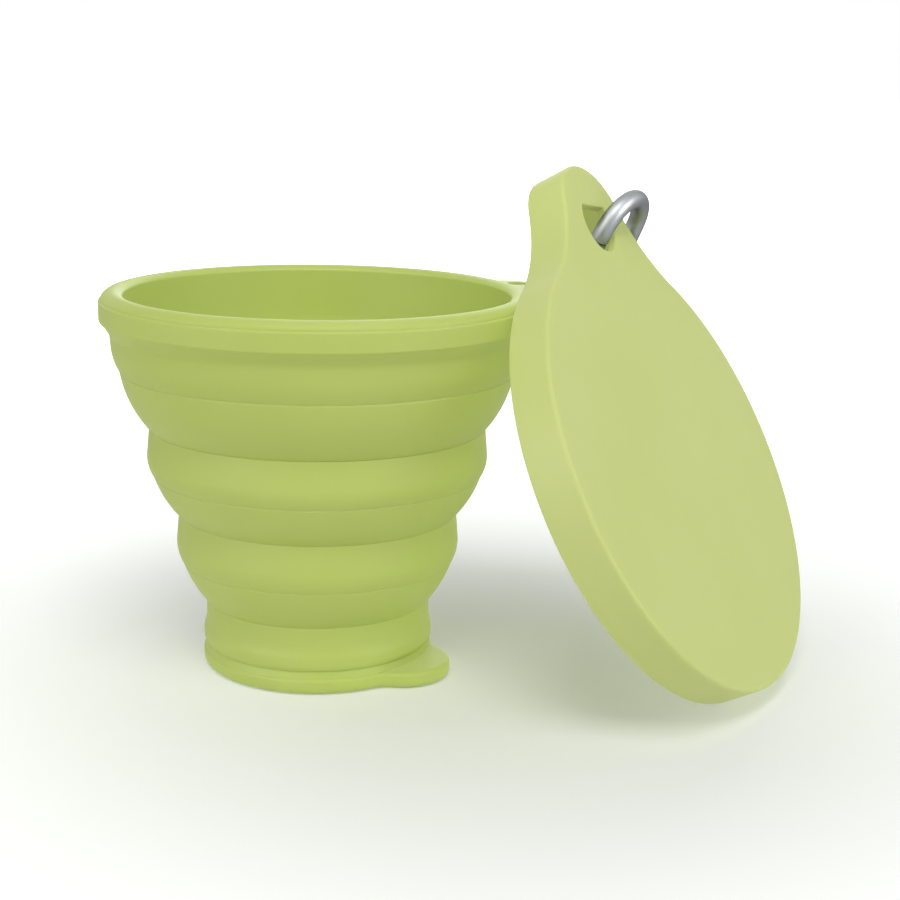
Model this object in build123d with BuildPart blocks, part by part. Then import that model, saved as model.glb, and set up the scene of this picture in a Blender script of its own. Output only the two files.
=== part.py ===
"""Collapsible travel cup with its teardrop lid and a small carabiner.

The cup stands on the floor with its axis on Z. The lid leans on the rim beside it, and the
carabiner hangs in the hole of the lid's tab. Millimetres, +Z up.
"""
import os
from math import acos, atan2, cos, degrees, hypot, radians, sin, sqrt

from build123d import *

os.makedirs("parts", exist_ok=True)

# --- Driving dimensions -----------------------------------------------------------------

# Silicone walls
tier_wall = 2.5            # stiff tiers
fold_wall = 1.4            # thin folds between the tiers
step_inset = 0.25          # each fold starts this much inside the tier above it

# Base: a bowl on a flat disc with a pull tab
disc_r = 24.75
disc_height = 4.0
disc_top_round = 0.8
disc_foot_round = 1.8
pull_reach = 19.5          # centre of the pull tab's round end
pull_r = 13.3
pull_heading = -42.0
pull_blend = 4.0
bowl_foot_r = 19.4         # where the bowl's round bottom meets the disc
bowl_round_height = 2.5
bowl_band = 0.5
base_waist_rise = 2.4      # from the bowl's widest point to its waist
base_top_r = 23.85
base_waist_step = 0.1      # from the neck out to the waist
bowl_step = 0.85           # from the neck out to the bowl's widest point
base_top_z = 14.3
floor_thickness = 6.0      # floor of the cup, disc included
floor_corner = 2.5

# Lower and middle tier, and the three folds under the tiers
lower_fold_rise, lower_tier_rise = 8.9, 10.1
middle_fold_rise, middle_tier_rise = 8.7, 9.9
upper_fold_rise = 12.2
lower_belly_r, lower_foot_step, lower_top_step, lower_belly_rise = 29.95, 0.95, 0.48, 4.4
middle_belly_r, middle_foot_step, middle_top_step, middle_belly_rise = 35.8, 1.05, 0.5, 4.2
lower_bulge, middle_bulge, upper_bulge = 0.5, 0.6, 1.0

# Top tier with its rim: each step is from the rim's edge inwards
rim_r = 45.0
rim_foot_step, rim_belly_step, rim_throat_step = 3.85, 2.3, 2.05
rim_belly_rise, rim_throat_rise = 4.8, 7.6
band_drop = 0.5            # flat part of the band's underside
band_rise = 10.1           # from the tier's foot to the band's underside
band_height = 4.4
lip_outer_step, lip_crown_step, lip_inner_step = 0.8, 2.1, 4.0
lip_height, lip_outer_rise, lip_inner_drop = 1.7, 0.7, 0.95

rim_tab_heading = 29.0
rim_tab_out = 3.0          # from the rim's edge out to the centre of the tab's round end
rim_tab_tip_r = 7.5
rim_tab_flank_r = 25.0
rim_hole_out, rim_hole_r = 4.2, 3.6

# Lid
lid_fit = 0.3              # gap between the closed lid's skirt and the rim
skirt_wall = 3.5
plate = 2.0
lid_depth = 9.34
lid_edge_round = 1.0
tab_out = 9.5              # from the rim's edge out to the centre of the tab's round end
tab_tip_r = 9.2            # the tab's end and flank, measured on the lid's cavity
tab_flank_r = 43.5
hole_setback = 0.9         # from the centre of the tab's round end back to the hole's
hole_r = 6.3
hole_flat = 4.1            # from the hole's centre to its straight side
snap_bead = 0.9            # inward bead at the skirt's mouth, held under the rim band
snap_bead_height = 1.1

# Where the lid leans: heading of its face, and the tab's turn on the face from the level line
lid_heading = -32.5
lid_tab_turn = 80.75
lean_step = 0.474          # from the skirt's outer edge in to the place that rests on the rim
lean_turn = 33.3254        # from the lid's steepest line round to that place
lean_gap = 0.3

# Carabiner
rod_r = 2.0
bend_r = 7.87
limb_length = 21.0
nose_drop = 1.0            # from the top bend's centre down to the nose's end
gate_r = 1.8
gate_gap = 0.25            # running gap at the gate's ends
hinge_tongue, nose_tongue = 1.4, 1.2
slot_play = 0.15           # on each side of a tongue in the gate's slots
pin_r = 0.6
pin_play = 0.05
hinge_rise = 3.4           # from the bottom bend's centre up to the hinge pin
hinge_shoulder = 2.3       # from the body's shoulder up to the hinge pin
hinge_round = 1.7
nose_tongue_length = 2.7
latch_drop = 1.4           # from the nose's end to the latch pin
nose_tongue_half = 1.5
spring_bore_r = 1.0
spring_bore_depth = 7.5
spring_wire_r = 0.15
spring_r = 0.75
spring_turns = 6
plunger_r = 0.9
plunger_length = 2.2
plunger_gap = 0.05
tongue_root = 1.0          # length of each tongue inside the rod
pin_inset = 0.1            # pins end this far inside the gate's side
hook_setback = 0.24        # from the hole's centre back to the top bend's centre
hook_inset = 1.41          # from the tab's widest line inwards
hook_depth = 1.37          # below the lid's face
hook_hang = (-0.5593, -0.20278, -0.80378)  # along the lid's tab, across it and out of its face
hook_spread = (0.18904, -0.9753, 0.11429)  # from the gate to the spine, in the same directions

# --- Heights and radii of the cup, and the tabs' places ---------------------------------

lower_foot_z = base_top_z + lower_fold_rise
lower_top_z = lower_foot_z + lower_tier_rise
middle_foot_z = lower_top_z + middle_fold_rise
middle_top_z = middle_foot_z + middle_tier_rise
rim_foot_z = middle_top_z + upper_fold_rise
band_z = rim_foot_z + band_rise
ledge_z = band_z + band_height
lip_z = ledge_z + lip_height
base_waist_r = base_top_r + base_waist_step
bowl_r = base_top_r + bowl_step
lower_foot_r, lower_top_r = lower_belly_r - lower_foot_step, lower_belly_r - lower_top_step
middle_foot_r, middle_top_r = middle_belly_r - middle_foot_step, middle_belly_r - middle_top_step
rim_foot_r, rim_belly_r, rim_throat_r = rim_r - rim_foot_step, rim_r - rim_belly_step, rim_r - rim_throat_step
lip_outer_r, lip_crown_r, lip_inner_r = rim_r - lip_outer_step, rim_r - lip_crown_step, rim_r - lip_inner_step
rim_tab_reach = rim_r + rim_tab_out
rim_hole_reach = rim_r + rim_hole_out
tab_reach = rim_r + tab_out
hole_reach = tab_reach - hole_setback


# --- Shared outlines --------------------------------------------------------------------

def teardrop(round_r, reach, tip_r, flank_r):
    """Round outline that runs out along +X into a rounded tab, with hollow flanks between the two."""
    far, near = round_r + flank_r, tip_r + flank_r
    flank_x = (far**2 - near**2 + reach**2) / (2 * reach)
    flank = Vector(flank_x, sqrt(far**2 - flank_x**2))
    tip = Vector(reach, 0)
    on_round = flank * (round_r / far)
    on_tip = tip + (flank - tip) * (tip_r / near)
    with BuildSketch() as outline:
        with BuildLine():
            back = ThreePointArc((-round_r, 0), (0, round_r), on_round)
            side = TangentArc(on_round, on_tip, tangent=back % 1)
            TangentArc(on_tip, tip + Vector(tip_r, 0), tangent=side % 1)
            mirror(about=Plane.XZ)
        make_face()
    return outline.sketch


def grown_cavity(grow):
    """The lid's cavity outline, grown outwards by a distance."""
    return teardrop(rim_r + lid_fit + grow, tab_reach, tab_tip_r + grow, tab_flank_r - grow)


disc_outline = teardrop(disc_r, pull_reach, pull_r, pull_blend)
rim_outline = teardrop(rim_r, rim_tab_reach, rim_tab_tip_r, rim_tab_flank_r)
lid_outline = grown_cavity(skirt_wall)
lid_cavity = grown_cavity(0)
lid_mouth = grown_cavity(-snap_bead)

# --- Base -------------------------------------------------------------------------------

with BuildPart() as base_cup:
    with BuildSketch(Plane.XY.rotated((0, 0, pull_heading))):
        add(disc_outline)
    extrude(amount=disc_height)
    fillet(base_cup.edges().group_by(Axis.Z)[-1], disc_top_round)
    fillet(base_cup.edges().group_by(Axis.Z)[0], disc_foot_round)
    bowl_z = disc_height + bowl_round_height
    inner_r = base_top_r - tier_wall
    with BuildSketch(Plane.XZ):
        with BuildLine():
            Line((0, floor_thickness), (0, disc_height / 2))
            Line((0, disc_height / 2), (bowl_foot_r, disc_height / 2))
            Line((bowl_foot_r, disc_height / 2), (bowl_foot_r, disc_height))
            EllipticalCenterArc(
                (bowl_foot_r, bowl_z), bowl_r - bowl_foot_r, bowl_round_height, start_angle=270, arc_size=90
            )
            band = Line((bowl_r, bowl_z), (bowl_r, bowl_z + bowl_band))
            waist = TangentArc(
                band @ 1, (base_waist_r, bowl_z + bowl_band + base_waist_rise), tangent=band % 1
            )
            Line(waist @ 1, (base_top_r, base_top_z))
            Line((base_top_r, base_top_z), (inner_r, base_top_z))
            well = Line((inner_r, base_top_z), (inner_r, floor_thickness + floor_corner))
            corner = TangentArc(well @ 1, (inner_r - floor_corner, floor_thickness), tangent=well % 1)
            Line(corner @ 1, (0, floor_thickness))
        make_face()
    revolve(axis=Axis.Z)
base_cup.part.label = "base_cup"
export_step(base_cup.part, "parts/base_cup.step")

# --- Lower and middle tier --------------------------------------------------------------

plain_tiers = [
    ("lower_tier", lower_foot_z, lower_top_z, lower_belly_rise, lower_foot_r, lower_belly_r, lower_top_r),
    ("middle_tier", middle_foot_z, middle_top_z, middle_belly_rise, middle_foot_r, middle_belly_r, middle_top_r),
]
for name, foot_z, top_z, belly_rise, foot_r, belly_r, top_r in plain_tiers:
    with BuildPart() as tier:
        with BuildSketch(Plane.XZ):
            with BuildLine():
                for inset in (0, tier_wall):
                    side = Line((top_r - inset, top_z), (belly_r - inset, foot_z + belly_rise))
                    TangentArc(side @ 1, (foot_r - inset, foot_z), tangent=side % 1)
                Line((top_r, top_z), (top_r - tier_wall, top_z))
                Line((foot_r, foot_z), (foot_r - tier_wall, foot_z))
            make_face()
        revolve(axis=Axis.Z)
    tier.part.label = name
    export_step(tier.part, f"parts/{name}.step")

# --- Folds: thin bulged walls between the tiers -----------------------------------------

folds = [
    ("lower_fold", base_top_z, lower_foot_z, base_top_r, lower_foot_r - step_inset, lower_bulge),
    ("middle_fold", lower_top_z, middle_foot_z, lower_top_r, middle_foot_r - step_inset, middle_bulge),
    ("upper_fold", middle_top_z, rim_foot_z, middle_top_r, rim_foot_r - step_inset, upper_bulge),
]
for name, foot_z, top_z, foot_r, top_r, bulge in folds:
    with BuildPart() as fold:
        with BuildSketch(Plane.XZ):
            with BuildLine():
                for inset in (0, fold_wall):
                    SagittaArc((foot_r - inset, foot_z), (top_r - inset, top_z), -bulge)
                for edge_r, edge_z in ((foot_r, foot_z), (top_r, top_z)):
                    Line((edge_r, edge_z), (edge_r - fold_wall, edge_z))
            make_face()
        revolve(axis=Axis.Z)
    fold.part.label = name
    export_step(fold.part, f"parts/{name}.step")

# --- Top tier with rim band, lip and tab ------------------------------------------------

with BuildPart() as rim_tier:
    with BuildSketch(Plane.XZ):
        with BuildLine():
            foot_in = rim_foot_r - tier_wall
            belly_in = rim_belly_r - tier_wall
            belly_z = rim_foot_z + rim_belly_rise
            wall = Line((rim_throat_r, rim_foot_z + rim_throat_rise), (rim_belly_r, belly_z))
            TangentArc(wall @ 1, (rim_foot_r, rim_foot_z), tangent=wall % 1)
            Line((rim_foot_r, rim_foot_z), (foot_in, rim_foot_z))
            liner = Line((lip_inner_r, lip_z - lip_inner_drop), (belly_in, belly_z))
            TangentArc(liner @ 1, (foot_in, rim_foot_z), tangent=liner % 1)
            lip = ThreePointArc(liner @ 0, (lip_crown_r, lip_z), (lip_outer_r, ledge_z + lip_outer_rise))
            Polyline(lip @ 1, (lip_outer_r, band_z), (rim_r - band_drop, band_z), wall @ 0)
        make_face()
    revolve(axis=Axis.Z)
    with BuildSketch(Plane.XY.offset(band_z).rotated((0, 0, rim_tab_heading))):
        add(rim_outline)
        Circle(lip_crown_r, mode=Mode.SUBTRACT)
        with Locations((rim_hole_reach, 0)):
            Circle(rim_hole_r, mode=Mode.SUBTRACT)
    extrude(amount=band_height)
rim_tier.part.label = "rim_tier"
export_step(rim_tier.part, "parts/rim_tier.step")

# --- Lid --------------------------------------------------------------------------------

# The lid stands on the floor and leans against the rim's edge, and its rise follows from both
lid_r = rim_r + lid_fit + skirt_wall
rest_r = lid_r - lean_step
leaning_height = lid_r + rest_r * cos(radians(lean_turn))
lid_side = rest_r * sin(radians(lean_turn))
lid_rise = degrees(acos(ledge_z / hypot(leaning_height, lean_gap)) - atan2(lean_gap, leaning_height))

# Directions of the leaning lid: out of its face, level along its face, and up its slope
face_dir = Vector(1, 0, 0).rotate(Axis.Y, -lid_rise).rotate(Axis.Z, lid_heading)
level_dir = Vector(0, 1, 0).rotate(Axis.Z, lid_heading)
slope_dir = face_dir.cross(level_dir)
tab_dir = level_dir * cos(radians(lid_tab_turn)) + slope_dir * sin(radians(lid_tab_turn))

# The skirt's mouth stands clear of the rim, and the lid's lowest edge is on the floor
out = ledge_z * face_dir.Z + rim_r * hypot(face_dir.X, face_dir.Y) + lid_depth + lean_gap
centre_z = lid_r * slope_dir.Z + lid_depth * face_dir.Z
up_slope = (centre_z - out * face_dir.Z) / slope_dir.Z
lid_middle = face_dir * out + level_dir * lid_side + slope_dir * up_slope
lid_plane = Plane(origin=lid_middle, x_dir=tab_dir, z_dir=face_dir)

with BuildPart() as lid:
    with BuildSketch(lid_plane.offset(-lid_depth)):
        add(lid_outline)
    extrude(amount=lid_depth)
    fillet(lid.faces().sort_by(Axis(lid_plane.origin, face_dir))[-1].edges(), lid_edge_round)
    with BuildSketch(lid_plane.offset(-lid_depth)):
        add(lid_mouth)
    extrude(amount=snap_bead_height, mode=Mode.SUBTRACT)
    with BuildSketch(lid_plane.offset(snap_bead_height - lid_depth)):
        add(lid_cavity)
    extrude(amount=lid_depth - plate - snap_bead_height, mode=Mode.SUBTRACT)
    # hole in the tab, its straight side towards the tab's tip
    with BuildSketch(lid_plane.offset(-plate)):
        with Locations((hole_reach, 0)):
            Circle(hole_r)
        with Locations((hole_reach + hole_flat - hole_r, 0)):
            Rectangle(2 * hole_r, 2 * hole_r, mode=Mode.INTERSECT)
    extrude(amount=plate, mode=Mode.SUBTRACT)
lid.part.label = "lid"
export_step(lid.part, "parts/lid.step")

# --- Carabiner --------------------------------------------------------------------------

# The carabiner's plane: X from the gate to the spine, Y up, its origin at the top bend's centre.
# The gate's side goes through the hole, and the spine passes outside the tab.
hook_side = tab_tip_r + skirt_wall - hook_inset
hook_down = lid_plane.from_local_coords(hook_hang) - lid_middle
hook_across = lid_plane.from_local_coords(hook_spread) - lid_middle
hook_normal = hook_down.cross(hook_across)
hook_plane = Plane(
    origin=lid_plane.from_local_coords((hole_reach - hook_setback, -hook_side, -hook_depth)),
    x_dir=hook_normal.cross(hook_down),
    z_dir=hook_normal,
)
hinge_y = hinge_rise - limb_length
latch_y = -nose_drop - latch_drop
shoulder_y = hinge_y - hinge_shoulder
gate_top_y = -nose_drop - gate_gap
hinge_slot_y = hinge_y + hinge_round + gate_gap
nose_slot_y = -nose_drop - nose_tongue_length - 2 * gate_gap


def on_hook(x, y, direction):
    """Plane across the carabiner at a point of its own plane."""
    return Plane(origin=hook_plane.from_local_coords((x, y, 0)), z_dir=direction)


with BuildPart() as carabiner_body:
    with BuildLine(hook_plane) as path:
        nose = Line((-bend_r, -nose_drop), (-bend_r, 0))
        top = ThreePointArc(nose @ 1, (0, bend_r), (bend_r, 0))
        spine = Line(top @ 1, (bend_r, -limb_length))
        foot = ThreePointArc(spine @ 1, (0, -limb_length - bend_r), (-bend_r, -limb_length))
        Line(foot @ 1, (-bend_r, shoulder_y))
    with BuildSketch(on_hook(-bend_r, -nose_drop, nose % 0)):
        Circle(rod_r)
    sweep(path=path.line)
    # hinge tongue, with its round end about the pin
    with BuildSketch(hook_plane):
        with Locations((-bend_r, hinge_y)):
            Circle(hinge_round)
        with Locations((-bend_r, (hinge_y + shoulder_y - tongue_root) / 2)):
            Rectangle(2 * hinge_round, hinge_y - shoulder_y + tongue_root)
        with Locations((-bend_r, hinge_y)):
            Circle(pin_r + pin_play, mode=Mode.SUBTRACT)
    extrude(amount=hinge_tongue / 2, both=True)
    # nose tongue, notched on the inside for the latch pin
    with BuildSketch(hook_plane):
        with Locations((-bend_r, -nose_drop - (nose_tongue_length - tongue_root) / 2)):
            Rectangle(2 * nose_tongue_half, nose_tongue_length + tongue_root)
        with Locations((-bend_r, latch_y)):
            Circle(pin_r + pin_play, mode=Mode.SUBTRACT)
        with Locations((-bend_r + nose_tongue_half, latch_y)):
            Rectangle(2 * nose_tongue_half, 2 * (pin_r + pin_play), mode=Mode.SUBTRACT)
    extrude(amount=nose_tongue / 2, both=True)
carabiner_body.part.label = "carabiner_body"
export_step(carabiner_body.part, "parts/carabiner_body.step")

with BuildPart() as carabiner_gate:
    gate_length = gate_top_y - hinge_y
    with BuildSketch(on_hook(-bend_r, hinge_y - gate_r, -hook_down)):
        Circle(gate_r)
    extrude(amount=gate_length + gate_r)
    with BuildSketch(hook_plane):
        with Locations((-bend_r, hinge_y)):
            Circle(gate_r)
        with Locations((-bend_r, hinge_y + gate_length / 2)):
            Rectangle(2 * gate_r, gate_length)
    extrude(amount=gate_r, both=True, mode=Mode.INTERSECT)
    # slots for the hinge tongue and for the nose tongue
    with BuildSketch(hook_plane):
        with Locations((-bend_r, (hinge_slot_y + hinge_y - gate_r) / 2)):
            Rectangle(3 * gate_r, hinge_slot_y - hinge_y + gate_r)
    extrude(amount=hinge_tongue / 2 + slot_play, both=True, mode=Mode.SUBTRACT)
    with BuildSketch(hook_plane):
        with Locations((-bend_r, (gate_top_y + nose_slot_y) / 2)):
            Rectangle(3 * gate_r, gate_top_y - nose_slot_y)
    extrude(amount=nose_tongue / 2 + slot_play, both=True, mode=Mode.SUBTRACT)
    # pin holes and the bore of the spring
    with BuildSketch(hook_plane):
        with Locations((-bend_r, hinge_y), (-bend_r, latch_y)):
            Circle(pin_r)
    extrude(amount=gate_r, both=True, mode=Mode.SUBTRACT)
    with BuildSketch(on_hook(-bend_r, hinge_slot_y, -hook_down)):
        Circle(spring_bore_r)
    extrude(amount=spring_bore_depth, mode=Mode.SUBTRACT)
carabiner_gate.part.label = "carabiner_gate"
export_step(carabiner_gate.part, "parts/carabiner_gate.step")

for name, pin_y in (("gate_hinge_pin", hinge_y), ("gate_latch_pin", latch_y)):
    with BuildPart() as pin:
        with BuildSketch(hook_plane):
            with Locations((-bend_r, pin_y)):
                Circle(pin_r)
        extrude(amount=gate_r - pin_inset, both=True)
    pin.part.label = name
    export_step(pin.part, f"parts/{name}.step")

# The plunger stands just off the hinge tongue, and the spring fills the bore behind it
plunger_y = hinge_y + hinge_round + plunger_gap
with BuildPart() as spring_plunger:
    with BuildSketch(on_hook(-bend_r, plunger_y, -hook_down)):
        Circle(plunger_r)
    extrude(amount=plunger_length)
spring_plunger.part.label = "spring_plunger"
export_step(spring_plunger.part, "parts/spring_plunger.step")

spring_foot_y = plunger_y + plunger_length + spring_wire_r + plunger_gap
spring_height = hinge_slot_y + spring_bore_depth - spring_wire_r - plunger_gap - spring_foot_y
with BuildPart() as gate_spring:
    coil = Helix(
        spring_height / spring_turns,
        spring_height,
        spring_r,
        center=hook_plane.from_local_coords((-bend_r, spring_foot_y, 0)),
        direction=-hook_down,
    )
    with BuildSketch(Plane(origin=coil @ 0, z_dir=coil % 0)):
        Circle(spring_wire_r)
    sweep(path=coil, is_frenet=True)
gate_spring.part.label = "gate_spring"
export_step(gate_spring.part, "parts/gate_spring.step")
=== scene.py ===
"""Looks of the collapsible travel cup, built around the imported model.

The cup stands open on the floor. Its lid leans on the rim, and a small carabiner hangs in the hole of
the lid's tab. Sizes in the pieces' sections are millimetres. Meshes, lamps and the camera are in metres.
"""

import bmesh
import bpy
import numpy as np
from mathutils import Matrix, Vector


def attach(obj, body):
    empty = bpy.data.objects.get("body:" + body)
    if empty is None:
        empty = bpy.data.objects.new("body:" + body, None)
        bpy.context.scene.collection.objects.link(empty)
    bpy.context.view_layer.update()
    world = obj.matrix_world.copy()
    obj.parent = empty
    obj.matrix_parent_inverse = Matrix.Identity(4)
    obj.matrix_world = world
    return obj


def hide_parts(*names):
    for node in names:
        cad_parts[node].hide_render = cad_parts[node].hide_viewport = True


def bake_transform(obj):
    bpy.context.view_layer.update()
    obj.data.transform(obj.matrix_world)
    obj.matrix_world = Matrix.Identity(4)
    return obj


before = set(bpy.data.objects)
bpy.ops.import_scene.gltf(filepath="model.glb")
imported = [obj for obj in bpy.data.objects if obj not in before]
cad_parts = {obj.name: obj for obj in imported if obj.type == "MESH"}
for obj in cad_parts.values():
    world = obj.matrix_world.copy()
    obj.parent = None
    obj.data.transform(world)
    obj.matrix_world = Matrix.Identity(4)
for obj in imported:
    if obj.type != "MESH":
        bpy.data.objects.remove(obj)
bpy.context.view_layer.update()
MM = 0.001

# --- Base ---------------------------------------------------------------------------------
# The foot of the cup: a round bowl on a flat disc with a pull tab, joined by a low shoulder. It is the thick
# end of one compression-moulded piece of food-grade silicone, with a matt skin from the blasted mould.

DISC_R, DISC_H, DISC_FOOT_ROUND, DISC_TOP_ROUND = 24.6, 3.6, 2.0, 0.9
PULL_REACH, PULL_R, PULL_BLEND, PULL_HEADING = 21.1, 10.1, 6.7, -32.8
DISC_INSET, BOWL_SINK_Z, FOOT_STEPS, BELLY_STEPS = 6.0, 2.0, 16, 8
SHOULDER_R, SHOULDER_LOW, SHOULDER_Z = 24.45, 2.9, 5.0
BOWL_FOOT_R, BOWL_R, WAIST_R, NECK_R = 23.8, 24.5, 23.95, 23.85
BOWL_ROUND_Z, BAND_Z, WAIST_Z, NECK_Z = 6.6, 7.1, 9.4, 14.3
FLOOR_Z, FLOOR_CORNER, WALL = 6.0, 2.5, 2.5
CREASE = np.radians(35)


def silicone_skin_group():
    """Fine blasted grain as height, with broad faint clouds in colour and roughness.

    Height is noise at the grain's scale. Cloud is slow noise drawn out to 0 to 1, and Roughness is the
    base value plus the cloud times its spread."""
    group = bpy.data.node_groups.new("silicone_skin", "ShaderNodeTree")
    face = group.interface
    face.new_socket("Colour", in_out="INPUT", socket_type="NodeSocketColor")
    face.new_socket("Shade", in_out="INPUT", socket_type="NodeSocketColor")
    usual = {"Grain Scale": 1400.0, "Cloud Scale": 28.0, "Roughness Base": 0.5, "Roughness Spread": 0.06}
    for name, value in usual.items():
        face.new_socket(name, in_out="INPUT", socket_type="NodeSocketFloat").default_value = value
    face.new_socket("Colour", in_out="OUTPUT", socket_type="NodeSocketColor")
    face.new_socket("Roughness", in_out="OUTPUT", socket_type="NodeSocketFloat")
    face.new_socket("Height", in_out="OUTPUT", socket_type="NodeSocketFloat")
    nodes, links = group.nodes, group.links
    given, made = nodes.new("NodeGroupInput"), nodes.new("NodeGroupOutput")
    place = nodes.new("ShaderNodeTexCoord")
    grain, cloud = nodes.new("ShaderNodeTexNoise"), nodes.new("ShaderNodeTexNoise")
    grain.inputs["Detail"].default_value = 3.0
    cloud.inputs["Detail"].default_value = 2.0
    spread, mix = nodes.new("ShaderNodeMapRange"), nodes.new("ShaderNodeMix")
    mix.data_type = "RGBA"
    spread.inputs["From Min"].default_value, spread.inputs["From Max"].default_value = 0.35, 0.65
    rough = nodes.new("ShaderNodeMath")
    rough.operation = "MULTIPLY_ADD"
    links.new(place.outputs["Object"], grain.inputs["Vector"])
    links.new(place.outputs["Object"], cloud.inputs["Vector"])
    links.new(given.outputs["Grain Scale"], grain.inputs["Scale"])
    links.new(given.outputs["Cloud Scale"], cloud.inputs["Scale"])
    links.new(cloud.outputs["Fac"], spread.inputs["Value"])
    links.new(spread.outputs["Result"], mix.inputs["Factor"])
    links.new(given.outputs["Colour"], mix.inputs[6])
    links.new(given.outputs["Shade"], mix.inputs[7])
    links.new(spread.outputs["Result"], rough.inputs[0])
    links.new(given.outputs["Roughness Spread"], rough.inputs[1])
    links.new(given.outputs["Roughness Base"], rough.inputs[2])
    links.new(mix.outputs[2], made.inputs["Colour"])
    links.new(rough.outputs["Value"], made.inputs["Roughness"])
    links.new(grain.outputs["Fac"], made.inputs["Height"])
    return group


silicone_skin = silicone_skin_group()


def from_srgb(red, green, blue):
    """Linear colour from 0 to 255 screen values, by the sRGB curve."""
    screen = np.array((red, green, blue)) / 255
    linear = np.where(screen <= 0.04045, screen / 12.92, ((screen + 0.055) / 1.055) ** 2.4)
    return (*linear, 1.0)


def silicone(name, colour, shade, grain=0.00002):
    """Matt translucent-edged silicone: diffuse with a little scatter and a soft wide highlight."""
    material = bpy.data.materials.new(name)
    material.use_nodes = True
    nodes, links = material.node_tree.nodes, material.node_tree.links
    skin = nodes.new("ShaderNodeGroup")
    skin.node_tree = silicone_skin
    skin.inputs["Colour"].default_value = colour
    skin.inputs["Shade"].default_value = shade
    bump = nodes.new("ShaderNodeBump")
    bump.inputs["Distance"].default_value = grain
    bump.inputs["Strength"].default_value = 0.5
    surface = nodes["Principled BSDF"]
    surface.inputs["Subsurface Weight"].default_value = 0.15
    surface.inputs["Subsurface Radius"].default_value = (1.0, 1.0, 0.4)
    surface.inputs["Subsurface Scale"].default_value = 0.0015
    surface.inputs["IOR"].default_value = 1.43
    links.new(skin.outputs["Colour"], surface.inputs["Base Color"])
    links.new(skin.outputs["Roughness"], surface.inputs["Roughness"])
    links.new(skin.outputs["Height"], bump.inputs["Height"])
    links.new(bump.outputs["Normal"], surface.inputs["Normal"])
    return material


cup_silicone = silicone("cup_silicone", from_srgb(166, 179, 92), from_srgb(163, 177, 88))


def skin(name, rings, loop=False):
    """A closed mesh from rings of points, an array of (rings, points, 3) in millimetres.

    Each ring joins the next with quads, and the last joins the first where loop is True. A ring drawn
    in to one point is merged, and closes the mesh as a pole."""
    count, around = rings.shape[:2]
    index = np.arange(count * around).reshape(count, around)
    lower, upper = (index, np.roll(index, -1, axis=0)) if loop else (index[:-1], index[1:])
    faces = np.stack([lower, np.roll(lower, -1, axis=1), np.roll(upper, -1, axis=1), upper], axis=-1)
    mesh = bpy.data.meshes.new(name)
    mesh.from_pydata((rings.reshape(-1, 3) * MM).tolist(), [], faces.reshape(-1, 4).tolist())
    shape = bmesh.new()
    shape.from_mesh(mesh)
    bmesh.ops.remove_doubles(shape, verts=shape.verts, dist=1e-6)
    bmesh.ops.recalc_face_normals(shape, faces=shape.faces)
    shape.to_mesh(mesh)
    shape.free()
    mesh.shade_smooth()
    piece = bpy.data.objects.new(name, mesh)
    bpy.context.collection.objects.link(piece)
    return piece


def finish(piece, material):
    """Gives a piece its material."""
    piece.data.materials.append(material)
    return piece


def turned(profile, around=288):
    """Rings of a turned shape: each profile point (radius, height) goes once round the cup's axis."""
    turn = np.linspace(0, 2 * np.pi, around, endpoint=False)
    radius, height = profile[:, :1], profile[:, 1:]
    return np.stack([radius * np.cos(turn), radius * np.sin(turn), height + 0 * turn], axis=-1)


def run(*points, steps=2):
    """Straight runs through the points, with even steps on each."""
    points = np.array(points, float)
    share = np.linspace(0, len(points) - 1, steps * (len(points) - 1) + 1)
    return np.stack([np.interp(share, np.arange(len(points)), points[:, k]) for k in (0, 1)], axis=-1)


def tangent_arc(start, before, end, steps=14):
    """Circular arc from start to end that leaves start in the direction from before to start.

    With t that direction and n its normal on the end's side, the arc is start + R sin(a) t +
    R (1 - cos(a)) n, where a goes from 0 to twice the angle between t and the chord."""
    start, before, end = (np.array(p, float) for p in (start, before, end))
    t = (start - before) / np.linalg.norm(start - before)
    chord = end - start
    n = chord - (chord @ t) * t
    n /= np.linalg.norm(n)
    radius = (chord @ chord) / (2 * (chord @ n))
    a = np.linspace(0, 2 * np.arctan2(chord @ n, chord @ t), steps)[:, None]
    return start + radius * (np.sin(a) * t + (1 - np.cos(a)) * n)


def softened(parts, rounds, loop=False, steps=5):
    """One profile from separate runs, with the corner between each two rounded.

    Each run is cut back by its corner's round, measured along it, and a parabola through the corner's
    tangents fills the gap: (1-s)^2 a + 2 s (1-s) corner + s^2 b. A point just beyond each end of the
    round keeps the flat beside it flat."""
    guard, spacing, shortest = 0.08, 0.1, 0.4
    rounds = list(rounds) if loop else [0, *rounds, 0]
    before = [rounds[-1], *rounds[:-1]] if loop else rounds[:-1]
    after = rounds if loop else rounds[1:]
    cut = []
    for part, first, last in zip(parts, before, after):
        length = np.concatenate([[0], np.cumsum(np.linalg.norm(np.diff(part, axis=0), axis=1))])
        ends = [first, length[-1] - last]
        beside = [ends[0] + guard, ends[1] - guard] if ends[1] - ends[0] > shortest else []
        inside = length[(length > ends[0] + spacing) & (length < ends[1] - spacing)]
        at = np.unique(np.concatenate([ends, beside, inside]))
        cut.append(np.stack([np.interp(at, length, part[:, k]) for k in (0, 1)], axis=-1))
    s = np.linspace(0, 1, steps + 2)[1:-1, None]
    whole = []
    for k, part in enumerate(cut):
        whole.append(part)
        if (loop or k + 1 < len(cut)) and after[k] > 0:
            a, corner, b = part[-1], parts[k][-1], cut[(k + 1) % len(cut)][0]
            whole.append((1 - s) ** 2 * a + 2 * s * (1 - s) * corner + s**2 * b)
    whole = np.concatenate(whole)
    keep = np.linalg.norm(whole - np.roll(whole, 1, axis=0), axis=1) > 1e-4
    return whole[keep]


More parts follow.
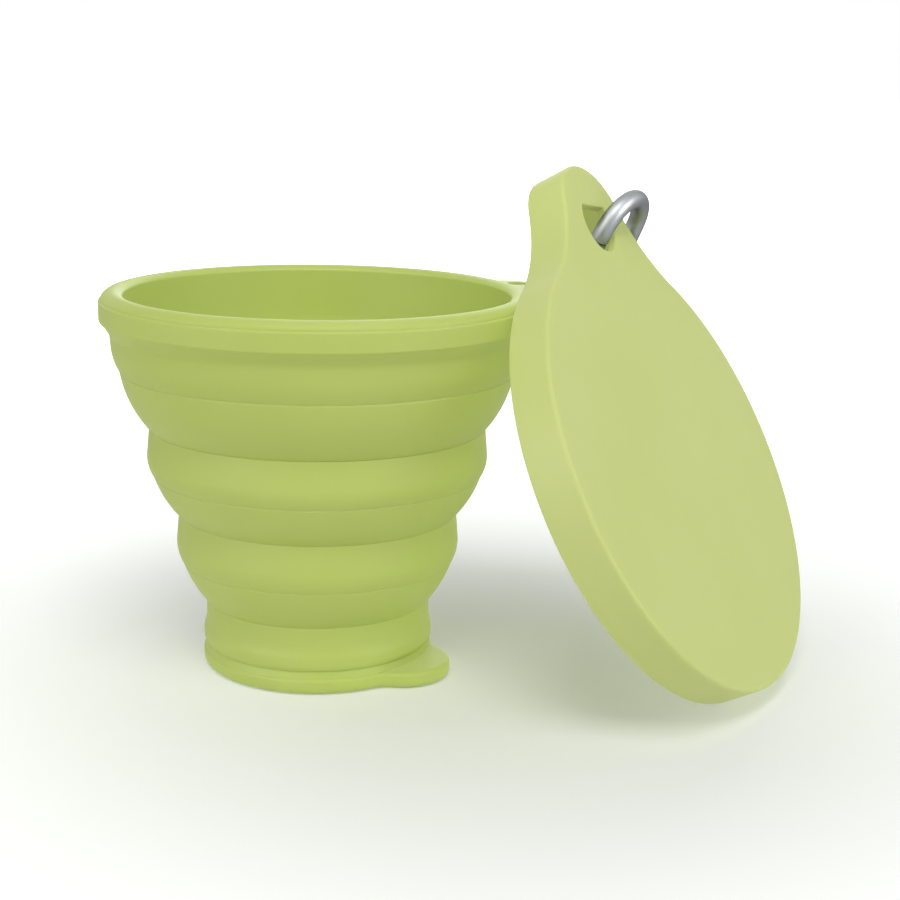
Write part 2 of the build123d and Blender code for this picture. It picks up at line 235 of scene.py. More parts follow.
def teardrop(round_r, reach, tip_r, flank_r, steps=(150, 40, 40)):
    """Outline of a disc with a rounded tab along +X, as arcs: the disc, a hollow flank, the tab's end,
    and the same mirrored.

    Returns a function of growth: each point is its arc's centre plus the arc's radius along its own
    direction, and the radius takes the growth, with the flank's taking it the other way."""
    far, near = round_r + flank_r, tip_r + flank_r
    flank_x = (far**2 - near**2 + reach**2) / (2 * reach)
    flank_y = np.sqrt(far**2 - flank_x**2)
    leave = np.arctan2(flank_y, flank_x)
    meet = np.arctan2(flank_y, flank_x - reach)
    turns = [
        np.linspace(np.pi, leave, steps[0]),
        np.linspace(leave, meet, steps[1] + 2)[1:-1] + np.pi,
        np.linspace(meet, 0, steps[2]),
    ]
    centres = [(0, 0), (flank_x, flank_y), (reach, 0)]
    turn = np.concatenate(turns)
    centre = np.concatenate([np.tile(c, (len(a), 1)) for c, a in zip(centres, turns)])
    radius = np.repeat([round_r, flank_r, tip_r], [len(a) for a in turns])
    sign = np.repeat([1, -1, 1], [len(a) for a in turns])
    direction = np.stack([np.cos(turn), np.sin(turn)], axis=-1)

    def grown(grow=0.0):
        half = centre + direction * (radius + sign * grow)[:, None]
        return np.concatenate([half, half[-2:0:-1] * (1, -1)])

    return grown


def placed(flat, height, heading=0.0):
    """A ring from a flat outline at a height, turned about the cup's axis by a heading in degrees."""
    angle = np.radians(heading)
    turned_flat = flat @ np.array([[np.cos(angle), np.sin(angle)], [-np.sin(angle), np.cos(angle)]])
    return np.column_stack([turned_flat, np.full(len(flat), float(height))])


disc_outline = teardrop(DISC_R, PULL_REACH, PULL_R, PULL_BLEND, steps=(110, 24, 60))
disc_side = softened(
    [run((-DISC_INSET, 0), (0, 0)), run((0, 0), (0, DISC_H)), run((0, DISC_H), (-DISC_INSET, DISC_H))],
    [DISC_FOOT_ROUND, DISC_TOP_ROUND],
    steps=7,
)
disc_rings = [placed(disc_outline(grow), height, PULL_HEADING) for grow, height in disc_side]
disc_rings = [disc_rings[0] * (0, 0, 1), *disc_rings, disc_rings[-1] * (0, 0, 1)]
foot_disc = finish(skin("foot_disc", np.array(disc_rings)), cup_silicone)

bowl_turn = np.linspace(-np.pi / 2, 0, FOOT_STEPS)[:, None]
bowl_swell = (BOWL_R - BOWL_FOOT_R, BOWL_ROUND_Z - SHOULDER_Z)
bowl_foot = (BOWL_FOOT_R, BOWL_ROUND_Z) + bowl_swell * np.hstack([np.cos(bowl_turn), np.sin(bowl_turn)])
bowl_belly = tangent_arc((BOWL_R, BAND_Z), (BOWL_R, BOWL_ROUND_Z), (WAIST_R, WAIST_Z), BELLY_STEPS)
bowl_side = np.concatenate([bowl_foot, bowl_belly])
well_r = NECK_R - WALL
bowl_profile = softened(
    [
        run((0, BOWL_SINK_Z), (SHOULDER_R, BOWL_SINK_Z)),
        run((SHOULDER_R, BOWL_SINK_Z), (SHOULDER_R, SHOULDER_LOW)),
        run((SHOULDER_R, SHOULDER_LOW), (BOWL_FOOT_R, SHOULDER_Z)),
        bowl_side,
        run((WAIST_R, WAIST_Z), (NECK_R, NECK_Z)),
        run((NECK_R, NECK_Z), (well_r, NECK_Z)),
        run((well_r, NECK_Z), (well_r, FLOOR_Z)),
        run((well_r, FLOOR_Z), (0, FLOOR_Z)),
    ],
    [0, 0.2, 0, 1.2, 0, 0.3, FLOOR_CORNER],
)
bowl = finish(skin("bowl", turned(bowl_profile)), cup_silicone)
bowl.data.set_sharp_from_angle(angle=CREASE)
for piece in (foot_disc, bowl):
    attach(piece, "base")
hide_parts("base_cup")

# --- Lower and middle tiers ---------------------------------------------------------------
# Two stiff rings of the same moulding. Each wall leans out a little upwards, and its foot turns in
# under a soft edge to meet the thin fold below it.


def tier_profile(foot_r, belly_r, top_r, foot_z, belly_z, top_z):
    """Wall of a stiff tier: straight from its neck down to the belly, then an arc in to the foot,
    repeated a wall's thickness inside."""
    side = []
    for inset in (0, WALL):
        top, belly, foot = (top_r - inset, top_z), (belly_r - inset, belly_z), (foot_r - inset, foot_z)
        side.append(np.concatenate([run(top, belly), tangent_arc(belly, top, foot)[1:]]))
    return softened(
        [
            side[0],
            run((foot_r, foot_z), (foot_r - WALL, foot_z)),
            side[1][::-1],
            run((top_r - WALL, top_z), (top_r, top_z)),
        ],
        [0, 0.3, 0.3, 0],
        loop=True,
    )


LOWER = dict(foot_r=29.0, belly_r=29.95, top_r=29.47, foot_z=23.2, belly_z=27.6, top_z=33.3)
MIDDLE = dict(foot_r=34.75, belly_r=35.8, top_r=35.3, foot_z=42.0, belly_z=46.2, top_z=51.9)
for name, body, sizes in (("lower_ring", "lower", LOWER), ("middle_ring", "middle", MIDDLE)):
    ring = finish(skin(name, turned(tier_profile(**sizes)), loop=True), cup_silicone)
    ring.data.set_sharp_from_angle(angle=CREASE)
    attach(ring, body)
    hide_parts("lower_tier" if body == "lower" else "middle_tier")

# --- Folds ----------------------------------------------------------------------------------
# Thin walls of the moulding that roll over when the cup is pressed flat. Each bulges a little between
# the tier under it and the tier that it carries.

FOLD_WALL, FOLD_STEPS, STEP_INSET = 1.4, 28, 0.03
RIM_FOOT = (41.15, 64.1)


def fold_profile(foot, top, bulge):
    """A thin wall from foot to top. It leaves the chord by a parabola, 4 bulge s (1-s), and is repeated
    a fold's thickness inside."""
    s = np.linspace(0, 1, FOLD_STEPS)[:, None]
    foot, top = np.array(foot, float), np.array(top, float)
    chord = (top - foot) / np.linalg.norm(top - foot)
    out = np.array((chord[1], -chord[0]))
    side = foot + s * (top - foot) + 4 * bulge * s * (1 - s) * out
    inner = side - (FOLD_WALL, 0)
    return np.concatenate([side, inner[::-1]])


lower_foot, lower_top = (LOWER["foot_r"], LOWER["foot_z"]), (LOWER["top_r"], LOWER["top_z"])
middle_foot, middle_top = (MIDDLE["foot_r"], MIDDLE["foot_z"]), (MIDDLE["top_r"], MIDDLE["top_z"])
folds = (
    ("lower_fold_skin", "lower_fold", "base", "lower", (NECK_R, NECK_Z), lower_foot, 0.5),
    ("middle_fold_skin", "middle_fold", "lower", "middle", lower_top, middle_foot, 0.6),
    ("upper_fold_skin", "upper_fold", "middle", "rim", middle_top, RIM_FOOT, 1.0),
)
for name, node, under, over, foot, tier_foot, bulge in folds:
    top = (tier_foot[0] - STEP_INSET, tier_foot[1])
    fold = finish(skin(name, turned(fold_profile(foot, top, bulge)), loop=True), cup_silicone)
    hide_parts(node)
    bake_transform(fold)

# --- Top tier with its rim ------------------------------------------------------------------
# The widest ring of the moulding. A flat band stands out round it and runs into a small tab with a
# hole, and a raised lip on top seals against the lid.

BAND_LOW, LEDGE, BAND_R, BAND_EDGE = 74.2, 78.6, 45.0, 0.55
LIP_IN_R, LIP_CROWN_R, LIP_OUT_R = 40.1, 42.4, 44.6
LIP_Z, LIP_IN_DROP, LIP_OUT_RISE = 80.3, 0.95, 0.3
RIM_BELLY, RIM_THROAT = (42.7, 68.9), (42.95, 71.7)
BAND_ROOT, BAND_CHAMFER, BAND_CREASE = 2.0, (0.5, 1.0), np.radians(50)
TAB_HEADING, TAB_REACH, TAB_TIP_R, TAB_FLANK_R = 29.0, 48.0, 7.5, 25.0
TAB_HOLE_REACH, TAB_HOLE_R, PUNCH_PAST, PUNCH_SIDES = 50.8, 2.4, 2.0, 64

belly_in = (RIM_BELLY[0] - WALL, RIM_BELLY[1])
foot_in = (RIM_FOOT[0] - WALL, RIM_FOOT[1])
lip_in, lip_crown = (LIP_IN_R, LIP_Z - LIP_IN_DROP), (LIP_CROWN_R, LIP_Z)
lip_out = (LIP_OUT_R, LEDGE + LIP_OUT_RISE)
band_shoulder = (LIP_OUT_R, BAND_LOW + BAND_CHAMFER[1])
band_foot = (BAND_R - BAND_CHAMFER[0], BAND_LOW)


def arc_through(start, middle, end, steps=20):
    """Circular arc through three points: the centre is where their perpendicular bisectors meet, and
    the angle runs evenly from start's to end's."""
    start, middle, end = (np.array(p, float) for p in (start, middle, end))
    sides = np.array([middle - start, end - start])
    halves = [(middle @ middle - start @ start) / 2, (end @ end - start @ start) / 2]
    centre = np.linalg.solve(sides, halves)
    first, last = (np.arctan2(*(p - centre)[::-1]) for p in (start, end))
    turn = np.linspace(first, last, steps)[:, None]
    return centre + np.linalg.norm(start - centre) * np.hstack([np.cos(turn), np.sin(turn)])


rim_profile = softened(
    [
        np.concatenate([run(RIM_THROAT, RIM_BELLY), tangent_arc(RIM_BELLY, RIM_THROAT, RIM_FOOT)[1:]]),
        run(RIM_FOOT, foot_in),
        np.concatenate([tangent_arc(belly_in, lip_in, foot_in)[::-1], run(belly_in, lip_in, steps=6)[1:]]),
        arc_through(lip_in, lip_crown, lip_out),
        run(lip_out, band_shoulder),
        run(band_shoulder, band_foot),
        run(band_foot, RIM_THROAT),
    ],
    [0, 0.3, 0.3, 0.4, 0, 0.4, 0.6],
    loop=True,
)
rim_ring = finish(skin("rim_ring", turned(rim_profile), loop=True), cup_silicone)
rim_ring.data.set_sharp_from_angle(angle=CREASE)

band_outline = teardrop(BAND_R, TAB_REACH, TAB_TIP_R, TAB_FLANK_R, steps=(130, 24, 30))
band_side = softened(
    [
        run((-BAND_ROOT, BAND_LOW), (0, BAND_LOW)),
        run((0, BAND_LOW), (0, LEDGE)),
        run((0, LEDGE), (-BAND_ROOT, LEDGE)),
    ],
    [BAND_EDGE, BAND_EDGE],
)
band_rings = [placed(band_outline(grow), height, TAB_HEADING) for grow, height in band_side]
inner_edge = band_outline()
inner_edge = inner_edge / np.linalg.norm(inner_edge, axis=1, keepdims=True) * LIP_CROWN_R
band_rings += [placed(inner_edge, height, TAB_HEADING) for height in (LEDGE, BAND_LOW)]
rim_band = finish(skin("rim_band", np.array(band_rings), loop=True), cup_silicone)

tab_turn = np.radians(TAB_HEADING)
punch_low, punch_high = BAND_LOW - PUNCH_PAST, LEDGE + PUNCH_PAST
punch_side = np.array([(0, punch_low), (TAB_HOLE_R, punch_low), (TAB_HOLE_R, punch_high), (0, punch_high)])
punch_place = (TAB_HOLE_REACH * np.cos(tab_turn), TAB_HOLE_REACH * np.sin(tab_turn), 0)
punch_rings = turned(punch_side, PUNCH_SIDES) + punch_place
punch = skin("punch", punch_rings)
cut = rim_band.modifiers.new("hole", "BOOLEAN")
cut.operation, cut.object, cut.solver = "DIFFERENCE", punch, "EXACT"
bpy.context.view_layer.objects.active = rim_band
with bpy.context.temp_override(object=rim_band, active_object=rim_band, selected_objects=[rim_band]):
    bpy.ops.object.modifier_apply(modifier=cut.name)
bpy.data.objects.remove(punch, do_unlink=True)
rim_band.data.set_sharp_from_angle(angle=BAND_CREASE)
for piece in (rim_ring, rim_band):
    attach(piece, "rim")
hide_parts("rim_tier")

# --- Lid --------------------------------------------------------------------------------------
# A teardrop cap of the same silicone as the cup, coloured paler as painted sheen for the soft white
# highlight on its face. It has a flat face, a plain skirt with a snap bead inside its mouth, and a
# D-shaped hole through its tab.

LID_HEADING, LID_RISE, LID_TURN, LID_SIDE = -32.5, 28.0, 80.75, 26.55
LID_DEPTH, LID_FIT, SKIRT, PLATE, SNAP, SNAP_H, LEAN_GAP = 9.34, 0.3, 3.5, 2.0, 0.9, 1.1, 0.3
LID_REACH, LID_TIP_R, LID_FLANK_R = 54.5, 9.2, 43.5
HOLE_REACH, HOLE_R, HOLE_FLAT, HOLE_STEPS = 53.6, 6.3, 4.1, (90, 22)
FACE_EDGE, MOUTH_EDGE, SNAP_EDGE, SNAP_ROOT, PLATE_ROOT = 1.0, 0.6, 0.4, 0.2, 0.8
HOLE_EDGE, HOLE_BACK_EDGE, FACE_LAND, PLATE_LAND, HOLE_LAND = 0.45, 0.3, 2.0, 1.5, 1.0

# Painted sheen: the lid's colour and shade are paler than the cup's, for the white highlight on its face.
lid_silicone = silicone("lid_silicone", from_srgb(180, 189, 116), from_srgb(177, 187, 112))

# The lid's face looks along face_dir. Its middle stands out along that until the mouth's plane clears the
# band's top edge by the lean gap, and up the slope until the lowest point of the mouth is on the floor.
heading, tilt, spin = np.radians((LID_HEADING, LID_RISE, LID_TURN))
face_dir = np.array((np.cos(tilt) * np.cos(heading), np.cos(tilt) * np.sin(heading), np.sin(tilt)))
level_dir = np.array((-np.sin(heading), np.cos(heading), 0))
slope_dir = np.cross(face_dir, level_dir)
tab_dir = np.cos(spin) * level_dir + np.sin(spin) * slope_dir
across_dir = np.cross(face_dir, tab_dir)
lid_r = BAND_R + LID_FIT + SKIRT
out = LEDGE * face_dir[2] + BAND_R * np.hypot(face_dir[0], face_dir[1]) + LID_DEPTH + LEAN_GAP
up_slope = (lid_r * slope_dir[2] + LID_DEPTH * face_dir[2] - out * face_dir[2]) / slope_dir[2]
lid_middle = out * face_dir + LID_SIDE * level_dir + up_slope * slope_dir


def on_lid(flat, depth):
    """A ring on the lid: flat outline points along the tab and across it, at a depth below the face."""
    return lid_middle + flat[:, :1] * tab_dir + flat[:, 1:] * across_dir - depth * face_dir


lid_outline = teardrop(BAND_R + LID_FIT, LID_REACH, LID_TIP_R, LID_FLANK_R, steps=(220, 60, 50))


def hole_outline(grow=0.0):
    """The D-shaped hole: a circle's arc from one end of the straight side to the other, and the side."""
    half = np.arccos((HOLE_FLAT + grow) / (HOLE_R + grow))
    turn = np.linspace(half, 2 * np.pi - half, HOLE_STEPS[0])
    arc = (HOLE_R + grow) * np.stack([np.cos(turn), np.sin(turn)], axis=-1)
    share = np.linspace(0, 1, HOLE_STEPS[1])[1:-1, None]
    return np.array((HOLE_REACH, 0)) + np.concatenate([arc, arc[-1] + share * (arc[0] - arc[-1])])


lid_side = softened(
    [
        run((SKIRT - FACE_LAND, 0), (SKIRT, 0)),
        run((SKIRT, 0), (SKIRT, LID_DEPTH)),
        run((SKIRT, LID_DEPTH), (-SNAP, LID_DEPTH)),
        run((-SNAP, LID_DEPTH), (-SNAP, LID_DEPTH - SNAP_H)),
        run((-SNAP, LID_DEPTH - SNAP_H), (0, LID_DEPTH - SNAP_H)),
        run((0, LID_DEPTH - SNAP_H), (0, PLATE), steps=3),
        run((0, PLATE), (-PLATE_LAND, PLATE)),
    ],
    [FACE_EDGE, MOUTH_EDGE, SNAP_EDGE, SNAP_EDGE, SNAP_ROOT, PLATE_ROOT],
)
hole_side = softened(
    [run((HOLE_LAND, PLATE), (0, PLATE)), run((0, PLATE), (0, 0)), run((0, 0), (HOLE_LAND, 0))],
    [HOLE_BACK_EDGE, HOLE_EDGE],
)
skirt_rings = np.array([on_lid(lid_outline(grow), depth) for grow, depth in lid_side])
hole_rings = np.array([on_lid(hole_outline(grow), depth) for grow, depth in hole_side])
lid_cap, hole_wall = skin("lid_cap", skirt_rings), skin("hole_wall", hole_rings)
joined = bmesh.new()
joined.from_mesh(lid_cap.data)
joined.from_mesh(hole_wall.data)
open_edges = [edge for edge in joined.edges if edge.is_boundary]
for depth in (0.0, PLATE):
    plane = (lid_middle - depth * face_dir) @ face_dir * MM
    loops = [edge for edge in open_edges if abs(edge.verts[0].co.dot(Vector(face_dir)) - plane) < 1e-6]
    bmesh.ops.triangle_fill(joined, use_beauty=True, edges=loops, normal=Vector(face_dir))
bmesh.ops.recalc_face_normals(joined, faces=joined.faces)
joined.to_mesh(lid_cap.data)
joined.free()
bpy.data.objects.remove(hole_wall, do_unlink=True)
lid_cap.data.shade_smooth()
finish(lid_cap, lid_silicone)
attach(lid_cap, "cover")
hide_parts("lid")

# --- Carabiner ----------------------------------------------------------------------------------
# A bent aluminium rod with a sprung gate, tumbled to a satin grey. The gate turns on a steel pin in a
# flattened tongue of the rod, and a second pin drops into a notch under the nose.

ROD_R, BEND_R, LIMB, NOSE_DROP, NOSE_EDGE = 2.0, 7.87, 21.0, 1.0, 0.35
HINGE_RISE, HINGE_SHOULDER, HINGE_ROUND, HINGE_TONGUE = 3.4, 2.3, 1.7, 1.4
HINGE_OVERLAP, NOSE_OVERLAP, NOSE_FAN = 0.8, 0.6, -1.1
NOSE_TONGUE, NOSE_TONGUE_LENGTH, NOSE_TONGUE_HALF, LATCH_DROP, PIN_HOLE_R = 1.2, 2.7, 1.5, 1.4, 0.65
HOOK_SETBACK, HOOK_INSET, HOOK_DEPTH = 0.24, 1.41, 1.37
ROD_STEPS, ROD_SIDES, TONGUE_STEPS, NOTCH_STEPS, TONGUE_CREASE = 260, 40, 72, 17, np.radians(40)
HOOK_DOWN, HOOK_ACROSS = (-0.308, 0.327, -0.894), (0.607, 0.791, 0.08)


def satin_metal_group():
    """Tumbled metal: fine noise as small dents, and slow noise that moves the roughness."""
    group = bpy.data.node_groups.new("tumbled_metal", "ShaderNodeTree")
    face = group.interface
    usual = {"Dent Scale": 900.0, "Patch Scale": 120.0, "Roughness Low": 0.34, "Roughness High": 0.44}
    for name, value in usual.items():
        face.new_socket(name, in_out="INPUT", socket_type="NodeSocketFloat").default_value = value
    face.new_socket("Roughness", in_out="OUTPUT", socket_type="NodeSocketFloat")
    face.new_socket("Height", in_out="OUTPUT", socket_type="NodeSocketFloat")
    nodes, links = group.nodes, group.links
    given, made = nodes.new("NodeGroupInput"), nodes.new("NodeGroupOutput")
    place = nodes.new("ShaderNodeTexCoord")
    dent, patch = nodes.new("ShaderNodeTexNoise"), nodes.new("ShaderNodeTexNoise")
    spread = nodes.new("ShaderNodeMapRange")
    links.new(place.outputs["Object"], dent.inputs["Vector"])
    links.new(place.outputs["Object"], patch.inputs["Vector"])
    links.new(given.outputs["Dent Scale"], dent.inputs["Scale"])
    links.new(given.outputs["Patch Scale"], patch.inputs["Scale"])
    links.new(patch.outputs["Fac"], spread.inputs["Value"])
    links.new(given.outputs["Roughness Low"], spread.inputs["To Min"])
    links.new(given.outputs["Roughness High"], spread.inputs["To Max"])
    links.new(spread.outputs["Result"], made.inputs["Roughness"])
    links.new(dent.outputs["Fac"], made.inputs["Height"])
    return group


tumbled_metal = satin_metal_group()


def metal(name, colour, low, high):
    """Satin metal with the tumbled surface between two roughness values."""
    material = bpy.data.materials.new(name)
    material.use_nodes = True
    nodes, links = material.node_tree.nodes, material.node_tree.links
    finish_nodes = nodes.new("ShaderNodeGroup")
    finish_nodes.node_tree = tumbled_metal
    finish_nodes.inputs["Roughness Low"].default_value = low
    finish_nodes.inputs["Roughness High"].default_value = high
    bump = nodes.new("ShaderNodeBump")
    bump.inputs["Distance"].default_value = 0.00001
    bump.inputs["Strength"].default_value = 0.4
    surface = nodes["Principled BSDF"]
    surface.inputs["Base Color"].default_value = colour
    surface.inputs["Specular Tint"].default_value = (0.35, 0.36, 0.37, 1)
    surface.inputs["Metallic"].default_value = 1.0
    links.new(finish_nodes.outputs["Roughness"], surface.inputs["Roughness"])
    links.new(finish_nodes.outputs["Height"], bump.inputs["Height"])
    links.new(bump.outputs["Normal"], surface.inputs["Normal"])
    return material


satin_aluminium = metal("satin_aluminium", from_srgb(157, 160, 162), 0.4, 0.48)
pin_steel = metal("pin_steel", from_srgb(190, 190, 192), 0.25, 0.35)

hook_down, hook_across = np.array(HOOK_DOWN), np.array(HOOK_ACROSS)
hook_normal = np.cross(hook_down, hook_across)
hook_normal /= np.linalg.norm(hook_normal)
hook_up = -hook_down / np.linalg.norm(hook_down)
hook_right = np.cross(hook_up, hook_normal)
hook_side = LID_TIP_R + SKIRT - HOOK_INSET
hook_reach = HOLE_REACH - HOOK_SETBACK
hook_middle = lid_middle + hook_reach * tab_dir - hook_side * across_dir - HOOK_DEPTH * face_dir


def on_hook(x, y, z=0.0):
    """Points in the carabiner's own plane: x towards the spine, y up, z out of the plane."""
    x, y, z = np.broadcast_arrays(x, y, z)
    return hook_middle + x[..., None] * hook_right + y[..., None] * hook_up + z[..., None] * hook_normal


# The rod's centre line by its length s: up from the nose, over the top bend, down the spine, round the
# foot bend and up to the hinge. Its radius falls off to a rounded edge at both ends.
hinge_y = HINGE_RISE - LIMB
shoulder_y = hinge_y - HINGE_SHOULDER
half_bend = np.pi * BEND_R
total = NOSE_DROP + 2 * half_bend + LIMB + (shoulder_y + LIMB)
s = np.linspace(0, total, ROD_STEPS)
top_turn = np.clip((s - NOSE_DROP) / BEND_R, 0, np.pi)
foot_turn = np.clip((s - NOSE_DROP - half_bend - LIMB) / BEND_R, 0, np.pi)
fall = np.clip(s - NOSE_DROP - half_bend, 0, LIMB)
climb = np.clip(s - NOSE_DROP - 2 * half_bend - LIMB, 0, None)
start_drop = np.clip(NOSE_DROP - s, 0, None)
rod_x = -BEND_R * np.cos(top_turn + foot_turn)
rod_y = BEND_R * (np.sin(top_turn) - np.sin(foot_turn)) - start_drop - fall + climb
out_x, out_y = -np.cos(top_turn + foot_turn), np.sin(top_turn + foot_turn)
edge = np.minimum(np.minimum(s, total - s), NOSE_EDGE)
rod_radius = ROD_R - NOSE_EDGE + np.sqrt(np.clip(NOSE_EDGE**2 - (NOSE_EDGE - edge) ** 2, 0, None))
around = np.linspace(0, 2 * np.pi, ROD_SIDES, endpoint=False)
ring_out, ring_side = rod_radius[:, None] * np.cos(around), rod_radius[:, None] * np.sin(around)
ring_x, ring_y = rod_x[:, None] + out_x[:, None] * ring_out, rod_y[:, None] + out_y[:, None] * ring_out
rod_ends = [np.tile(on_hook(rod_x[k], rod_y[k]), (1, len(around), 1)) for k in (0, -1)]
rod_rings = np.concatenate([rod_ends[0], on_hook(ring_x, ring_y, ring_side), rod_ends[1]])
rod = finish(skin("carabiner_rod", rod_rings), satin_aluminium)
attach(rod, "carabiner")
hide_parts("carabiner_body")


def tongue(name, outline, hole, thickness):
    """A flat tongue: its outline and the loop of its pin hole, matched point for point, at both faces."""
    half = thickness / 2
    loops = ((outline, -half), (outline, half), (hole, half), (hole, -half))
    rings = [on_hook(loop[:, 0], loop[:, 1], side) for loop, side in loops]
    piece = finish(skin(name, np.array(rings), loop=True), satin_aluminium)
    piece.data.set_sharp_from_angle(angle=TONGUE_CREASE)
    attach(piece, "carabiner")


# Along each ray from the pin, the hinge tongue reaches its round above, and the nearer of its side and its
# foot below.
turn = np.linspace(0, 2 * np.pi, TONGUE_STEPS, endpoint=False)
rays = np.stack([np.cos(turn), np.sin(turn)], axis=-1)
to_side = HINGE_ROUND / np.maximum(np.abs(rays[:, 0]), 1e-6)
to_foot = (HINGE_SHOULDER + HINGE_OVERLAP) / np.maximum(-rays[:, 1], 1e-6)
hinge_reach = np.where(rays[:, 1] >= 0, HINGE_ROUND, np.minimum(to_side, to_foot))
hinge_centre = np.array((-BEND_R, hinge_y))
hinge_outline, hinge_hole = hinge_centre + rays * hinge_reach[:, None], hinge_centre + rays * PIN_HOLE_R
tongue("hinge_tongue", hinge_outline, hinge_hole, HINGE_TONGUE)

# The nose tongue's outline has the latch pin's notch in the side towards the spine, and a fan from one
# point closes each of its faces.
nose_low, nose_high = -NOSE_DROP - NOSE_TONGUE_LENGTH, -NOSE_DROP + NOSE_OVERLAP
latch_y = -NOSE_DROP - LATCH_DROP
notch_low, notch_high = latch_y - PIN_HOLE_R, latch_y + PIN_HOLE_R
notch_turn = np.linspace(-np.pi / 2, -3 * np.pi / 2, NOTCH_STEPS)
notch = np.stack([PIN_HOLE_R * np.cos(notch_turn), latch_y + PIN_HOLE_R * np.sin(notch_turn)], axis=-1)
nose_below = [(-NOSE_TONGUE_HALF, nose_low), (NOSE_TONGUE_HALF, nose_low), (NOSE_TONGUE_HALF, notch_low)]
nose_above = [(NOSE_TONGUE_HALF, notch_high), (NOSE_TONGUE_HALF, nose_high), (-NOSE_TONGUE_HALF, nose_high)]
nose_outline = np.concatenate([nose_below, notch, nose_above]) - (BEND_R, 0)
nose_sides = (-NOSE_TONGUE / 2, NOSE_TONGUE / 2)
nose_rings = [on_hook(nose_outline[:, 0], nose_outline[:, 1], side) for side in nose_sides]
nose_fans = [on_hook(NOSE_FAN - BEND_R, latch_y, side) + 0 * nose_rings[0] for side in nose_sides]
nose_skin = skin("nose_tongue", np.array([nose_fans[0], *nose_rings, nose_fans[1]]))
nose = finish(nose_skin, satin_aluminium)
nose.data.set_sharp_from_angle(angle=TONGUE_CREASE)
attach(nose, "carabiner")

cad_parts["carabiner_gate"].data.materials.clear()
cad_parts["carabiner_gate"].data.materials.append(satin_aluminium)
for node in ("gate_hinge_pin", "gate_latch_pin", "gate_spring", "spring_plunger"):
    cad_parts[node].data.materials.clear()
    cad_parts[node].data.materials.append(pin_steel)

# --- Floor, light and camera ----------------------------------------------------------------------
# A pale sweep with a painted soft grey-green shadow round the cup and lid that fades to white, under an
# overhead softbox with wide fills on three sides and a small lamp over the cup's mouth. The camera looks
# down at the cup from a little above the rim.

FLOOR_HALF = 6.0
# Painted shadow: the seen tone is darker and greener than the bounce tone, and the glow lifts it to white
# only away from the cup and lid.
BOUNCE_TONE, CAMERA_SHADE_TONE = (0.95, 0.95, 0.94, 1), (0.695, 0.71, 0.685, 1)
PAINTED_SHADOW_MIDDLE, NEAR_GLOW, FAR_GLOW = (0.038, -0.021, 0), (0.01, 0.151, 0.43), (0.13, 0.83, 1.2)
WORLD_FILL, WORLD_SEEN = 0.06, 1.0

floor_mesh = bpy.data.meshes.new("floor")
floor_corners = [(FLOOR_HALF * x, FLOOR_HALF * y, 0) for x, y in ((-1, -1), (1, -1), (1, 1), (-1, 1))]
floor_mesh.from_pydata(floor_corners, [], [(0, 1, 2, 3)])
floor = bpy.data.objects.new("floor", floor_mesh)
bpy.context.collection.objects.link(floor)
paint = bpy.data.materials.new("floor_paint")
paint.use_nodes = True
nodes, links = paint.node_tree.nodes, paint.node_tree.links

# The camera sees the seen tone, a darker grey-green painted shade, and a glow: the sum of a near and a far
# ramp of the distance from the painted shadow's middle, each given as begin, end and strength. Near the cup
# and lid the glow is weak, which leaves a painted soft shadow there. Every other ray meets the bounce tone
# alone.
diffuse, glow = nodes["Principled BSDF"], nodes.new("ShaderNodeEmission")
tone = nodes.new("ShaderNodeMix")
tone.data_type = "RGBA"
tone.inputs[6].default_value, tone.inputs[7].default_value = BOUNCE_TONE, CAMERA_SHADE_TONE
diffuse.inputs["Roughness"].default_value = 0.9
diffuse.inputs["Specular IOR Level"].default_value = 0.1
place, reach = nodes.new("ShaderNodeTexCoord"), nodes.new("ShaderNodeVectorMath")
reach.operation, reach.inputs[1].default_value = "DISTANCE", PAINTED_SHADOW_MIDDLE
fade, far = nodes.new("ShaderNodeMapRange"), nodes.new("ShaderNodeMapRange")
fade.interpolation_type = "SMOOTHSTEP"
for ramp, (begins, ends, strength) in ((fade, NEAR_GLOW), (far, FAR_GLOW)):
    ramp.inputs["From Min"].default_value, ramp.inputs["From Max"].default_value = begins, ends
    ramp.inputs["To Max"].default_value = strength
rise, lift = nodes.new("ShaderNodeMath"), nodes.new("ShaderNodeMath")
lift.operation = "MULTIPLY"
path, both = nodes.new("ShaderNodeLightPath"), nodes.new("ShaderNodeAddShader")
links.new(place.outputs["Object"], reach.inputs[0])
links.new(reach.outputs["Value"], fade.inputs["Value"])
links.new(reach.outputs["Value"], far.inputs["Value"])
links.new(fade.outputs["Result"], rise.inputs[0])
links.new(far.outputs["Result"], rise.inputs[1])
links.new(rise.outputs["Value"], lift.inputs[0])
links.new(path.outputs["Is Camera Ray"], lift.inputs[1])
links.new(path.outputs["Is Camera Ray"], tone.inputs["Factor"])
links.new(tone.outputs[2], diffuse.inputs["Base Color"])
links.new(lift.outputs["Value"], glow.inputs["Strength"])
links.new(diffuse.outputs["BSDF"], both.inputs[0])
links.new(glow.outputs["Emission"], both.inputs[1])
links.new(both.outputs["Shader"], nodes["Material Output"].inputs["Surface"])
floor_mesh.materials.append(paint)

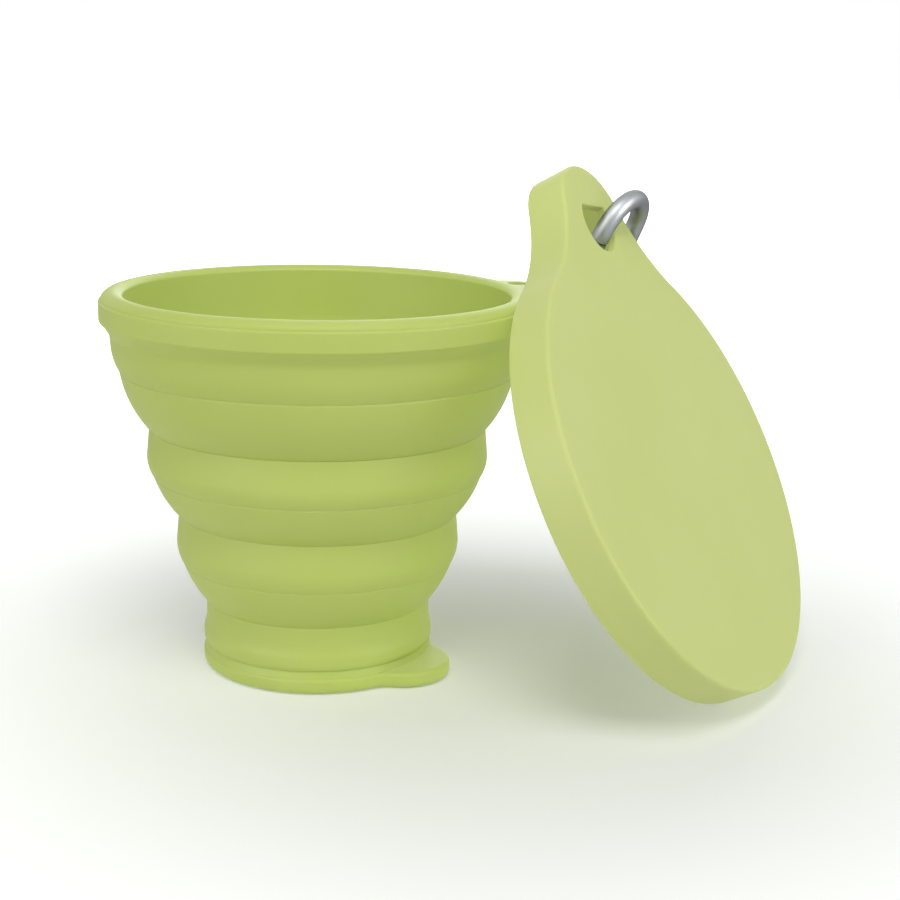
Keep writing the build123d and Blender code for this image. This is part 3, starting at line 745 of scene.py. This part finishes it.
# Camera and glossy rays meet a white world, and every other ray meets its weak fill.
world = bpy.data.worlds.new("studio")
bpy.context.scene.world = world
world.use_nodes = True
nodes, links = world.node_tree.nodes, world.node_tree.links
path, seen = nodes.new("ShaderNodeLightPath"), nodes.new("ShaderNodeMath")
seen.operation = "MAXIMUM"
white = nodes.new("ShaderNodeMapRange")
white.inputs["To Min"].default_value, white.inputs["To Max"].default_value = WORLD_FILL, WORLD_SEEN
nodes["Background"].inputs["Color"].default_value = (1, 1, 1, 1)
links.new(path.outputs["Is Camera Ray"], seen.inputs[0])
links.new(path.outputs["Is Glossy Ray"], seen.inputs[1])
links.new(seen.outputs["Value"], white.inputs["Value"])
links.new(white.outputs["Result"], nodes["Background"].inputs["Strength"])


def softbox(name, place, aim, size, watts, shadow=True):
    """A square area lamp at a place, turned to face a point."""
    lamp = bpy.data.lights.new(name, "AREA")
    lamp.size, lamp.energy, lamp.use_shadow = size, watts, shadow
    holder = bpy.data.objects.new(name, lamp)
    bpy.context.collection.objects.link(holder)
    holder.location = place
    holder.rotation_euler = (Vector(aim) - Vector(place)).to_track_quat("-Z", "Y").to_euler()
    holder.visible_camera = False


softbox("key", (0.0, -0.55, 0.95), (0.02, 0, 0.04), 0.5, 5.0)
softbox("right fill", (1.05, -0.6, 0.45), (0.02, 0, 0.05), 0.8, 10.2, shadow=False)
softbox("left fill", (-1.05, -0.7, 0.45), (0.02, 0, 0.05), 0.8, 9.8, shadow=False)
softbox("back fill", (0.25, 1.25, 0.5), (0.02, 0, 0.05), 0.8, 4.5, shadow=False)
softbox("mouth", (0.0, -0.01, 0.15), (0, 0, 0.05), 0.08, 0.02)

CAMERA_PLACE, LENS, SENSOR = Vector((0.0, -0.346096, 0.127574)), 66.754, 36.0
YAW, PITCH, ROLL = np.radians((4.631, 13.220, 1.125))
forward = Vector((np.sin(YAW) * np.cos(PITCH), np.cos(YAW) * np.cos(PITCH), -np.sin(PITCH)))
level = Vector((np.cos(YAW), -np.sin(YAW), 0))
right = level * np.cos(ROLL) + level.cross(forward) * np.sin(ROLL)
up = right.cross(forward)
camera_data = bpy.data.cameras.new("camera")
camera_data.lens, camera_data.sensor_width = LENS, SENSOR
camera = bpy.data.objects.new("camera", camera_data)
bpy.context.collection.objects.link(camera)
turn = Matrix((right, up, -forward)).transposed().to_4x4()
camera.matrix_world = Matrix.Translation(CAMERA_PLACE) @ turn
bpy.context.scene.camera = camera
bpy.context.scene.view_settings.view_transform = "Standard"
